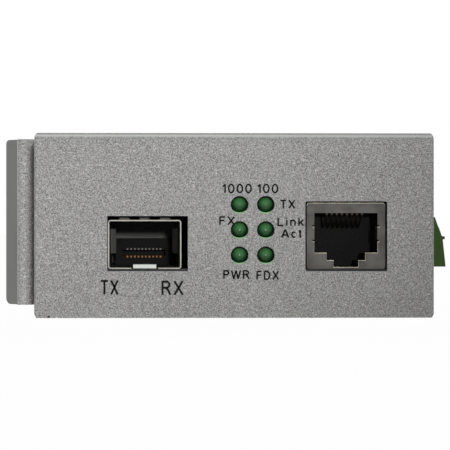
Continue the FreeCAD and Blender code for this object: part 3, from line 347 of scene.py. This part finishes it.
def makePaint(name, values):
    material, tree, shader = newMaterial(name)
    coat = placeGroup(tree, powderCoat, -800, 0, Base_Colour=values["colour"], Grain_Size=values["grainSize"],
                      Grain_Strength=values["grainStrength"], Fleck_Strength=values["fleckStrength"],
                      Cloud_Strength=values["cloudStrength"])
    edge = placeGroup(tree, edgeMask, -800, 300, Strength=values["edgeStrength"], Reach=values["edgeReach"])
    fold = placeGroup(tree, leanMask, -800, 500, Least=values["foldLeast"], Most=values["foldMost"],
                      Span=values["foldSpan"])
    # Painted highlight: edges and upward-turning folds get a paler colour, for the light they catch from above.
    upper = calc(tree, "MAXIMUM", -600, 400, edge.outputs["Upper"], fold.outputs["Upward"])
    bright = mixColour(tree, -400, 100, upper, coat.outputs["Colour"], values["upperEdgeHighlight"])
    place = addNode(tree, "ShaderNodeTexCoord", -900, 600)
    away = addNode(tree, "ShaderNodeVectorMath", -700, 600, operation="DISTANCE")
    tree.links.new(place.outputs["Object"], away.inputs[0])
    away.inputs[1].default_value = values["chipPlace"]
    chip = calc(tree, "LESS_THAN", -500, 600, away.outputs["Value"], values["chipRadius"])
    # Painted shade: inside a given box behind the port face, the walls of its holes and the wall's inner side turn
    # near black.
    if "shadedWallBox" in values:
        wall = placeGroup(tree, boxMask, -900, 1200, Low=values["shadedWallBox"][0], High=values["shadedWallBox"][1])
        bright = mixColour(tree, -350, 250, wall.outputs["Mask"], bright, values["wallShadeColour"])
    # Painted shade on the bracket's outward flare: past a given line across the part, the coat turns to a darker, even
    # grey.
    if "flareShadeFrom" in values:
        flareShade = placeGroup(tree, placeMask, -900, 900, Near=values["flareShadeFrom"], Far=values["flareShadeTo"])
        bright = mixColour(tree, -300, 300, flareShade.outputs["Across"], bright, values["flareShadeColour"])
    tree.links.new(mixColour(tree, -200, 200, chip, bright, values["chipColour"]), shader.inputs["Base Color"])
    tree.links.new(coat.outputs["Roughness"], shader.inputs["Roughness"])
    shader.inputs["Specular IOR Level"].default_value = values["specular"]
    addBump(tree, shader, coat.outputs["Height"], values["bumpHeight"], values["bump"])
    return material


metalDefaults = {
    "lineSize": 0.1, "lines": 0.25, "tarnish": 0.2, "roughness": 0.3, "metallic": 1.0,
    "bumpHeight": 0.00001, "bump": 0.3, "edgeStrength": 4.0, "edgeReach": 0.28, "darkWay": "Inward",
}


def makeMetal(name, values):
    values = dict(metalDefaults, **values)
    material, tree, shader = newMaterial(name)
    drawn = placeGroup(tree, drawnMetal, -800, 0, Base_Colour=values["colour"], Tarnish_Colour=values["tarnishColour"],
                       Line_Size=values["lineSize"], Line_Strength=values["lines"], Tarnish=values["tarnish"],
                       Base_Roughness=values["roughness"])
    look = drawn.outputs["Colour"]
    # A second colour from a given line inward or upward: it paints shade deeper inside the cage and the jack, sets the
    # tone of the jack's wires behind their front ends, and gives the upper contact row a grey tone.
    if "darkFrom" in values:
        mask = placeGroup(tree, placeMask, -800, 300, Near=values["darkFrom"], Far=values["darkTo"])
        darkColour = values["darkColour"]
        # Painted highlight: within that part, faces that lean towards the port side turn pale.
        if "leanHighlightColour" in values:
            lean = placeGroup(tree, leanMask, -800, 500)
            darkColour = mixColour(tree, -600, 400, lean.outputs["Forward"], darkColour, values["leanHighlightColour"])
        look = mixColour(tree, -400, 200, mask.outputs[values["darkWay"]], look, darkColour)
    # Painted highlight: a pale colour inside a given box.
    if "tabBox" in values:
        tab = placeGroup(tree, boxMask, -800, 800, Low=values["tabBox"][0], High=values["tabBox"][1])
        look = mixColour(tree, -300, 500, tab.outputs["Mask"], look, values["tabHighlightColour"])
    # Painted highlight: edges that face upward are mixed towards a paler colour.
    if "upperEdgeHighlight" in values:
        edge = placeGroup(tree, edgeMask, -800, 600, Strength=values["edgeStrength"], Reach=values["edgeReach"])
        look = mixColour(tree, -200, 300, edge.outputs["Upper"], look, values["upperEdgeHighlight"])
    tree.links.new(look, shader.inputs["Base Color"])
    tree.links.new(drawn.outputs["Roughness"], shader.inputs["Roughness"])
    shader.inputs["Metallic"].default_value = values["metallic"]
    addBump(tree, shader, drawn.outputs["Height"], values["bumpHeight"], values["bump"])
    return material


plasticDefaults = {
    "dustColour": (0.3, 0.3, 0.28, 1), "grainSize": 0.12, "flow": 0.2, "dust": 0.05, "roughness": 0.45,
    "specular": 0.5, "coat": 0.0, "bumpHeight": 0.00002, "bump": 0.25, "rimSpan": 0.1,
}


def makePlastic(name, values):
    values = dict(plasticDefaults, **values)
    material, tree, shader = newMaterial(name)
    skin = placeGroup(tree, mouldedPlastic, -800, 0, Base_Colour=values["colour"], Dust_Colour=values["dustColour"],
                      Grain_Size=values["grainSize"], Flow_Strength=values["flow"], Dust=values["dust"],
                      Base_Roughness=values["roughness"])
    look = skin.outputs["Colour"]
    if "rimDepth" in values:
        mask = placeGroup(tree, placeMask, -800, 300, Near=values["rimDepth"],
                          Far=values["rimDepth"] + values["rimSpan"])
        look = mixColour(tree, -400, 200, mask.outputs["Inward"], values["rimColour"], look)
    tree.links.new(look, shader.inputs["Base Color"])
    tree.links.new(skin.outputs["Roughness"], shader.inputs["Roughness"])
    shader.inputs["Specular IOR Level"].default_value = values["specular"]
    shader.inputs["Coat Weight"].default_value = values["coat"]
    addBump(tree, shader, skin.outputs["Height"], values["bumpHeight"], values["bump"])
    return material


lampValues = {
    "dark": (0.015, 0.08, 0.021, 1),
    "lit": (0.08, 0.31, 0.09, 1),
    "roughness": 0.2, "specular": 0.28, "refraction": 1.5,
    "litGain": 0.85, "litBase": 0.28, "grainSize": 0.6, "flow": 0.9,
}


# Tinted resin: deep green, with painted light that makes it paler where the dome turns upward.
def makeResin(values):
    material, tree, shader = newMaterial("greenLampResin")
    facing = addNode(tree, "ShaderNodeNewGeometry", -900, 0)
    split = addNode(tree, "ShaderNodeSeparateXYZ", -700, 0)
    tree.links.new(facing.outputs["Normal"], split.inputs[0])
    lit = calc(tree, "MULTIPLY_ADD", -500, 0, split.outputs["Z"], values["litGain"], values["litBase"], clamp=True)
    skin = placeGroup(tree, mouldedPlastic, -900, 300, Base_Colour=values["dark"],
                      Grain_Size=values["grainSize"], Flow_Strength=values["flow"], Dust=0.0,
                      Base_Roughness=values["roughness"])
    tree.links.new(mixColour(tree, -300, 100, lit, skin.outputs["Colour"], values["lit"]), shader.inputs["Base Color"])
    shader.inputs["Roughness"].default_value = values["roughness"]
    shader.inputs["IOR"].default_value = values["refraction"]
    shader.inputs["Specular IOR Level"].default_value = values["specular"]
    return material


# Places along X, Y and Z in these tables are in millimetres.
metalValues = {
    "zincPlate": {"colour": (0.62, 0.63, 0.64, 1), "tarnishColour": (0.35, 0.33, 0.28, 1),
                  "lineSize": 0.15, "lines": 0.3, "tarnish": 0.3, "roughness": 0.32},
    "springSteel": {"colour": (0.38, 0.38, 0.39, 1), "tarnishColour": (0.2, 0.17, 0.14, 1),
                    "lines": 0.3, "tarnish": 0.3, "roughness": 0.4},
    "cageNickel": {"colour": (0.30, 0.29, 0.25, 1), "tarnishColour": (0.22, 0.2, 0.15, 1),
                   "lineSize": 0.12, "tarnish": 0.15, "roughness": 0.5, "metallic": 0.55,
                   # painted shade: everything of the cage behind its front edge turns dark
                   "darkFrom": -49.8, "darkTo": -49.74, "darkColour": (0.06, 0.059, 0.056, 1),
                   # painted highlight: faces within that lean towards the port side, such as the springs, turn pale
                   "leanHighlightColour": (0.62, 0.61, 0.59, 1),
                   # painted highlight: the latch tab at the cage's mouth is pale
                   "tabBox": ((-20.4, -50.1, 9.7), (-15.5, -49.3, 11.1)), "tabHighlightColour": (0.62, 0.64, 0.60, 1)},
    "jackNickel": {"colour": (0.068, 0.066, 0.061, 1), "tarnishColour": (0.04, 0.038, 0.034, 1),
                   "lineSize": 0.14, "lines": 0.4, "tarnish": 0.3, "roughness": 0.5,
                   # painted shade: the shield turns darker behind its front face
                   "darkFrom": -49.25, "darkTo": -48.9, "darkColour": (0.03, 0.029, 0.027, 1),
                   # painted highlight: a pale cream on edges that face upward, such as the top lip
                   "upperEdgeHighlight": (0.62, 0.58, 0.46, 1)},
    "goldPlate": {"colour": (0.24, 0.10, 0.025, 1), "tarnishColour": (0.06, 0.03, 0.01, 1),
                  "lineSize": 0.08, "lines": 0.2, "tarnish": 0.1, "roughness": 0.5, "metallic": 0.6,
                  "darkFrom": 12.9, "darkTo": 13.1, "darkColour": (0.11, 0.108, 0.10, 1), "darkWay": "Upward"},
    # painted shade: the jack's wires get a near-black gold, darkest at their front ends, for the shade inside the jack
    "shadedWireGold": {"colour": (0.045, 0.036, 0.022, 1), "tarnishColour": (0.026, 0.02, 0.012, 1),
                 "lineSize": 0.08, "lines": 0.2, "tarnish": 0.3, "roughness": 0.4,
                 "darkFrom": -47.6, "darkTo": -46.4, "darkColour": (0.085, 0.07, 0.05, 1)},
    "tinPlate": {"colour": (0.72, 0.71, 0.69, 1), "tarnishColour": (0.4, 0.38, 0.34, 1),
                 "lines": 0.2, "tarnish": 0.25, "roughness": 0.35},
    "canAluminium": {"colour": (0.75, 0.76, 0.77, 1), "tarnishColour": (0.5, 0.5, 0.5, 1),
                     "lineSize": 0.2, "lines": 0.2, "tarnish": 0.1},
}
plasticValues = {
    # black plastic, its own colour made darker still: painted shade deep inside the fibre port
    "connectorMoulding": {"colour": (0.009, 0.0088, 0.0085, 1), "dustColour": (0.02, 0.02, 0.02, 1),
                          "roughness": 0.6, "dust": 0.1, "flow": 0.8, "specular": 0.1},
    # black plastic, its own colour made darker still: painted shade inside the copper jack and the lamp holes
    "insertMoulding": {"colour": (0.004, 0.0038, 0.0038, 1), "dustColour": (0.05, 0.05, 0.05, 1),
                       "roughness": 0.5, "dust": 0.15, "flow": 0.8, "specular": 0.08},
    "chipMoulding": {"colour": (0.02, 0.02, 0.021, 1), "roughness": 0.6, "grainSize": 0.08},
    "terminalGreen": {"colour": (0.033, 0.078, 0.009, 1), "dustColour": (0.12, 0.16, 0.07, 1),
                      "grainSize": 0.15, "flow": 0.7, "dust": 0.08, "roughness": 0.5, "specular": 0.2},
    "canSleeve": {"colour": (0.012, 0.016, 0.03, 1), "roughness": 0.3, "flow": 0.1, "coat": 0.2},
    "fuseBrown": {"colour": (0.12, 0.05, 0.02, 1), "roughness": 0.4},
    "chokeFerrite": {"colour": (0.05, 0.05, 0.052, 1), "roughness": 0.7, "flow": 0.4},
    "boardMask": {"colour": (0.004, 0.035, 0.014, 1), "dustColour": (0.05, 0.2, 0.08, 1),
                  "grainSize": 0.3, "flow": 0.3, "dust": 0.04, "roughness": 0.4, "specular": 0.25,
                  "rimDepth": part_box("circuit_board")[0].y / mm + 0.3, "rimColour": (0.006, 0.006, 0.005, 1)},
    "printedInk": {"colour": (0.003, 0.003, 0.003, 1), "dustColour": (0.03, 0.03, 0.03, 1),
                   "grainSize": 0.2, "flow": 0.3, "dust": 0.2, "roughness": 0.6, "bump": 0.2, "specular": 0.15},
    # painted light: the pale green of the crescents on the lamp holes' lower rims
    "rimPaintedLight": {"colour": (0.30, 0.62, 0.26, 1), "dustColour": (0.4, 0.7, 0.35, 1),
                "grainSize": 0.2, "flow": 0.3, "roughness": 0.35},
}

materials = {
    "coverPaint": makePaint("greyPowderCoat", dict(
        # painted shade: the hole walls and the inner side of the port face are near black
        paintValues, shadedWallBox=((-38.5, -49.93, 1.5), (38.5, -48.0, 35.6)), wallShadeColour=(0.03, 0.03, 0.03, 1))),
    # Painted light: the bracket gets a paler copy of the cover's powder coat so that it reads brighter, with painted
    # shade on its outward flare.
    "bracketPaint": makePaint("bracketPowderCoat", dict(
        paintValues, colour=(0.42, 0.416, 0.408, 1), flareShadeFrom=-45.05, flareShadeTo=-45.25,
        flareShadeColour=(0.255, 0.255, 0.25, 1))),
    "lampResin": makeResin(lampValues),
}
for name, values in metalValues.items():
    materials[name] = makeMetal(name, values)
for name, values in plasticValues.items():
    materials[name] = makePlastic(name, values)
print("materials made:", len(materials))

finishes = {
    "coverPaint": ["front_cover", "base_tray"],
    "bracketPaint": ["rail_bracket"],
    "zincPlate": ["case_screws", "board_screws", "board_standoffs", "bracket_screws", "rail_latch"],
    "springSteel": ["latch_spring"],
    "cageNickel": ["fibre_cage"],
    "jackNickel": ["copper_jack_shield"],
    "goldPlate": ["fibre_contacts"],
    "shadedWireGold": ["copper_jack_wires"],
    "tinPlate": ["lamp_leads", "header_pins", "plug_contacts"],
    "canAluminium": ["crystal_can"],
    "connectorMoulding": ["fibre_connector"],
    "insertMoulding": ["copper_jack_insert", "lamp_holder"],
    "chipMoulding": ["converter_chip", "copper_driver_chip", "setting_memory_chip", "regulator_chip",
                     "line_transformer"],
    "terminalGreen": ["terminal_header", "plug_housing"],
    "canSleeve": ["input_capacitor", "output_capacitor"],
    "fuseBrown": ["input_fuse"],
    "chokeFerrite": ["power_choke"],
    "boardMask": ["circuit_board"],
}
for number in (1, 2, 3, 4):
    finishes["zincPlate"].append("clamp_screw_%d" % number)
    finishes["tinPlate"].append("wire_clamp_%d" % number)
lampNames = ["lamp_%s_%s" % (row, side) for row in ("low", "middle", "high") for side in ("left", "right")]
finishes["lampResin"] = lampNames


def dress(name, material):
    part = nodes[name]
    part.data.materials.clear()
    part.data.materials.append(material)


dressed = []
for finish, names in finishes.items():
    for name in names:
        dress(name, materials[finish])
        dressed.append(name)
print("finishes given to", len(dressed), "parts")

edgeValues = {              # bevel widths in millimetres
    "front_cover": 0.05, "base_tray": 0.08, "rail_bracket": 0.14, "rail_latch": 0.08,
    "plug_housing": 0.12, "terminal_header": 0.10, "copper_jack_insert": 0.06, "copper_jack_shield": 0.08,
    "fibre_cage": 0.04,
}
softValues = {"weldReach": 0.000002, "segments": 2, "bevelAngle": 40, "creaseAngle": 35}


def softenEdges(name, width):
    part = nodes[name]
    weld = part.modifiers.new("weld", "WELD")
    weld.merge_threshold = softValues["weldReach"]
    if width:
        bevel = part.modifiers.new("softEdges", "BEVEL")
        bevel.width = width * mm
        bevel.segments = softValues["segments"]
        bevel.limit_method = "ANGLE"
        bevel.angle_limit = math.radians(softValues["bevelAngle"])
        bevel.harden_normals = True
    else:
        split = part.modifiers.new("creases", "EDGE_SPLIT")
        split.split_angle = math.radians(softValues["creaseAngle"])
    even = part.modifiers.new("evenShade", "WEIGHTED_NORMAL")
    even.keep_sharp = True
    for face in part.data.polygons:
        face.use_smooth = True


for name in dressed:
    softenEdges(name, edgeValues.get(name, 0.0))
print("edges softened")


rimValues = {
    "outer": 1.76, "thick": 0.24, "thin": 0.004, "spread": 62.0, "dish": 0.18, "sink": 0.03, "steps": 20,
}


def addMesh(name, build):
    mesh = bpy.data.meshes.new(name)
    shape = bmesh.new()
    build(shape)
    bmesh.ops.recalc_face_normals(shape, faces=shape.faces)
    shape.to_mesh(mesh)
    shape.free()
    part = bpy.data.objects.new(name, mesh)
    scene.collection.objects.link(part)
    return part


# Painted light: a thin dished crescent of pale green on the lower rim of a lamp hole, for the light that falls through
# the lens.
def makeRim(name, lamp, values, material):
    low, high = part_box(lamp)
    centreX, centreZ = (low.x + high.x) / 2, (low.z + high.z) / 2

    def build(shape):
        count = values["steps"]
        rows = []
        for n in range(count + 1):
            part = n / count
            angle = math.radians(-90 + values["spread"] * (2 * part - 1))
            thick = values["thick"] * math.sin(math.pi * part) + values["thin"]
            ring = []
            for step, sink in ((0.0, 0.0), (0.5, 0.7), (1.0, 1.0)):
                radius = (values["outer"] - thick * step) * mm
                ring.append(shape.verts.new((math.cos(angle) * radius, (values["sink"] + values["dish"] * sink) * mm,
                                             math.sin(angle) * radius)))
            rows.append(ring)
        for first, second in zip(rows, rows[1:]):
            for a in range(2):
                shape.faces.new((first[a], first[a + 1], second[a + 1], second[a]))

    part = addMesh(name, build)
    part.location = (centreX, faceY, centreZ)
    part.data.materials.append(material)
    for face in part.data.polygons:
        face.use_smooth = True
    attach(part, "root")


for name in lampNames:
    makeRim("rim_" + name, name, rimValues, materials["rimPaintedLight"])
print("lamp rims made")


def bow(x, y, wide, tall, start, end, count=16):
    turn = [math.radians(start + (end - start) * n / count) for n in range(count + 1)]
    return [(x + wide * math.cos(a), y + tall * math.sin(a)) for a in turn]


# A glyph is its width and its strokes, with the capital height as 1.
glyphs = {
    "0": (0.60, [bow(0.30, 0.5, 0.26, 0.46, 90, 450, 28)]),
    "1": (0.32, [[(0.02, 0.73), (0.15, 0.82), (0.27, 0.97)], [(0.27, 1.0), (0.27, 0.0)]]),
    "A": (0.70, [[(0.02, 0.0), (0.34, 0.985)], [(0.36, 0.985), (0.68, 0.0)], [(0.13, 0.32), (0.57, 0.32)]]),
    "D": (0.68, [[(0.05, 0.0), (0.05, 1.0)],
                 [(0.05, 0.955), (0.27, 0.955)] + bow(0.27, 0.5, 0.35, 0.455, 90, -90) + [(0.05, 0.045)]]),
    "F": (0.56, [[(0.05, 0.0), (0.05, 1.0)], [(0.05, 0.955), (0.56, 0.955)], [(0.05, 0.52), (0.49, 0.52)]]),
    "L": (0.50, [[(0.05, 1.0), (0.05, 0.0)], [(0.05, 0.045), (0.50, 0.045)]]),
    "P": (0.58, [[(0.05, 0.0), (0.05, 1.0)],
                 [(0.05, 0.955), (0.31, 0.955)] + bow(0.31, 0.725, 0.23, 0.23, 90, -90) + [(0.05, 0.495)]]),
    "R": (0.66, [[(0.05, 0.0), (0.05, 1.0)],
                 [(0.05, 0.955), (0.34, 0.955)] + bow(0.34, 0.735, 0.23, 0.22, 90, -90) + [(0.05, 0.515)],
                 [(0.32, 0.51), (0.46, 0.35), (0.64, 0.0)]]),
    "T": (0.68, [[(0.0, 0.955), (0.68, 0.955)], [(0.34, 0.95), (0.34, 0.0)]]),
    "W": (0.96, [[(0.02, 1.0), (0.25, 0.0)], [(0.25, 0.0), (0.48, 1.0)], [(0.48, 1.0), (0.71, 0.0)],
                 [(0.71, 0.0), (0.94, 1.0)]]),
    "X": (0.68, [[(0.03, 1.0), (0.65, 0.0)], [(0.65, 1.0), (0.03, 0.0)]]),
    "c": (0.46, [bow(0.25, 0.355, 0.2, 0.32, 48, 312)]),
    "i": (0.10, [[(0.05, 0.72), (0.05, 0.0)], [(0.05, 1.0), (0.05, 0.87)]]),
    "k": (0.46, [[(0.05, 1.0), (0.05, 0.0)], [(0.42, 0.72), (0.06, 0.28)], [(0.19, 0.43), (0.45, 0.0)]]),
    "n": (0.46, [[(0.05, 0.72), (0.05, 0.0)], bow(0.235, 0.47, 0.18, 0.21, 170, 0) + [(0.415, 0.0)]]),
    "t": (0.28, [[(0.12, 0.95), (0.12, 0.18), (0.15, 0.07), (0.26, 0.04)], [(0.0, 0.68), (0.26, 0.68)]]),
}

# Each label's box in millimetres, from a part's middle: left, right, foot, head.
labelValues = {
    "proud": 0.012, "stroke": 0.33, "bigStroke": 0.42, "bigFrom": 2.5, "gap": 0.26, "aside": -0.08,
    "labels": {
        "speedThousand": ("1000", "lamp_high_left", -3.36, 2.46, 2.36, 4.13),
        "speedHundred": ("100", "lamp_high_right", -1.62, 2.52, 2.36, 4.13),
        "copperLine": ("TX", "lamp_high_right", 2.96, 5.89, -0.70, 0.95),
        "fibreLine": ("FX", "lamp_middle_left", -3.94, -0.93, 1.05, 2.69),
        "link": ("Link", "lamp_middle_right", 2.43, 7.66, 0.85, 2.50),
        "activity": ("Act", "lamp_middle_right", 3.24, 7.26, -1.50, 0.15),
        "power": ("PWR", "lamp_low_left", -3.14, 2.01, -4.70, -3.00),
        "duplex": ("FDX", "lamp_low_right", -1.76, 2.66, -4.85, -3.14),
        "sendPort": ("TX", "fibre_cage", -8.68, -5.23, -8.84, -6.03),
        "takePort": ("RX", "fibre_cage", 3.51, 7.73, -8.92, -6.18),
    },
}


# A flat ribbon along a line of points, as quads facing the port side.
def addRibbon(shape, points, width):
    sides = []
    closed = (Vector(points[0]) - Vector(points[-1])).length < 1e-6
    count = len(points)
    for n, point in enumerate(points):
        before = points[n - 1] if n else (points[-2] if closed else None)
        after = points[n + 1] if n + 1 < count else (points[1] if closed else None)
        runs = []
        if before is not None:
            runs.append((Vector(point) - Vector(before)).normalized())
        if after is not None:
            runs.append((Vector(after) - Vector(point)).normalized())
        along = sum(runs, Vector((0, 0))).normalized()
        reach = width / 2 / max(0.6, along.dot(runs[0]))
        offset = Vector((-along.y, along.x)) * reach
        left, right = Vector(point) + offset, Vector(point) - offset
        sides.append((shape.verts.new((left.x, 0, left.y)), shape.verts.new((right.x, 0, right.y))))
    for first, second in zip(sides, sides[1:]):
        shape.faces.new((first[0], first[1], second[1], second[0]))


def makeLabel(name, entry, values):
    words, anchor, left, right, foot, head = entry
    low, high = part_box(anchor)
    gap = values["gap"]
    total = sum(glyphs[letter][0] for letter in words) + gap * (len(words) - 1)
    tall = head - foot
    width = values["bigStroke"] if tall > values["bigFrom"] else values["stroke"]
    stretch = (right - left) / total
    begin = left + values["aside"]

    def build(shape):
        start = 0.0
        for letter in words:
            for stroke in glyphs[letter][1]:
                addRibbon(shape, [((begin + (start + x) * stretch) * mm, (foot + y * tall) * mm) for x, y in stroke],
                          width * mm)
            start += glyphs[letter][0] + gap

    label = addMesh("label_" + name, build)
    label.location = ((low.x + high.x) / 2, faceY - values["proud"] * mm, (low.z + high.z) / 2)
    label.data.materials.append(materials["printedInk"])
    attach(label, "root")


for name, entry in labelValues["labels"].items():
    makeLabel(name, entry, labelValues)
print("labels set")


studioValues = {
    "floorColour": (0.86, 0.86, 0.86, 1), "floorHalf": 4.0, "floorDrop": 0.00005, "floorTint": 0.995,
    "floorLift": 0.975,      # share of plain white that the camera sees on the floor
    "ambient": 0.07,
    # Each lamp: kind, where it stands, where it points, strength, size, cone in degrees.
    "lamps": {
        "keyLight": ("SPOT", (0.036, -0.96, 0.075), (-0.045, -0.03, 0.060), 17.0, 0.016, 17.0),
        "topLight": ("SUN", (0.0, -0.2, 1.0), (0.0, 0.0, 0.0), 0.6, 12.0, 0.0),
        "backRight": ("SUN", (0.62, 0.74, 0.26), (0.0, 0.0, 0.0), 1.4, 15.0, 0.0),
        "backLeft": ("SUN", (-0.62, 0.74, 0.26), (0.0, 0.0, 0.0), 1.4, 15.0, 0.0),
        "dotLight": ("AREA", (-0.01, -0.38, 0.045), (-0.017, -0.02, 0.013), 0.02, 0.03, 0.0),
    },
}


# 1 for rays from the camera, from reflections and through clear things.
def seenRays(tree):
    path = addNode(tree, "ShaderNodeLightPath", -600, 300)
    direct = calc(tree, "MAXIMUM", -450, 300, path.outputs["Is Camera Ray"], path.outputs["Is Glossy Ray"])
    return calc(tree, "MAXIMUM", -300, 300, direct, path.outputs["Is Transmission Ray"])


def makeFloor(values):
    def build(shape):
        bmesh.ops.create_grid(shape, x_segments=8, y_segments=8, size=values["floorHalf"])

    floor = addMesh("floor", build)
    floor.location = (0, 0, -values["floorDrop"])
    material, tree, shader = newMaterial("paleFloor")
    tint = noise(tree, -600, 0, addNode(tree, "ShaderNodeTexCoord", -900, 0).outputs["Object"], 3.0)
    dimmer = tuple(part * values["floorTint"] for part in values["floorColour"][:3]) + (1,)
    pale = mixColour(tree, -300, 0, tint, values["floorColour"], dimmer)
    tree.links.new(pale, shader.inputs["Base Color"])
    shader.inputs["Roughness"].default_value = 0.9
    shader.inputs["Specular IOR Level"].default_value = 0.0
    glow = addNode(tree, "ShaderNodeEmission", 0, -300)
    glow.inputs["Strength"].default_value = 1.0
    blend = addNode(tree, "ShaderNodeMixShader", 300, 0)
    tree.links.new(calc(tree, "MULTIPLY", 100, 300, seenRays(tree), values["floorLift"]), blend.inputs[0])
    tree.links.new(shader.outputs[0], blend.inputs[1])
    tree.links.new(glow.outputs[0], blend.inputs[2])
    tree.links.new(blend.outputs[0], tree.nodes["Material Output"].inputs["Surface"])
    floor.data.materials.append(material)


def makeWorld(values):
    world = bpy.data.worlds.new("studio")
    world.use_nodes = True
    tree = world.node_tree
    backdrop = tree.nodes["Background"]
    strength = calc(tree, "ADD", -100, 0, calc(tree, "MULTIPLY", -200, 0, seenRays(tree), 1.0 - values["ambient"]),
                    values["ambient"])
    backdrop.inputs["Color"].default_value = (1, 1, 1, 1)
    tree.links.new(strength, backdrop.inputs["Strength"])
    scene.world = world


def makeLamp(name, entry):
    kind, place, target, strength, size, cone = entry
    data = bpy.data.lights.new(name, kind)
    data.energy = strength
    if kind == "SUN":
        data.angle = math.radians(size)
    elif kind == "SPOT":
        data.shadow_soft_size = size
        data.spot_size = math.radians(cone)
        data.spot_blend = 1.0
    else:
        data.size = size
    lamp = bpy.data.objects.new(name, data)
    scene.collection.objects.link(lamp)
    lamp.location = place
    lamp.rotation_mode = "QUATERNION"
    lamp.rotation_quaternion = (Vector(target) - Vector(place)).to_track_quat("-Z", "Y")


makeFloor(studioValues)
makeWorld(studioValues)
for name, entry in studioValues["lamps"].items():
    makeLamp(name, entry)
print("studio set")
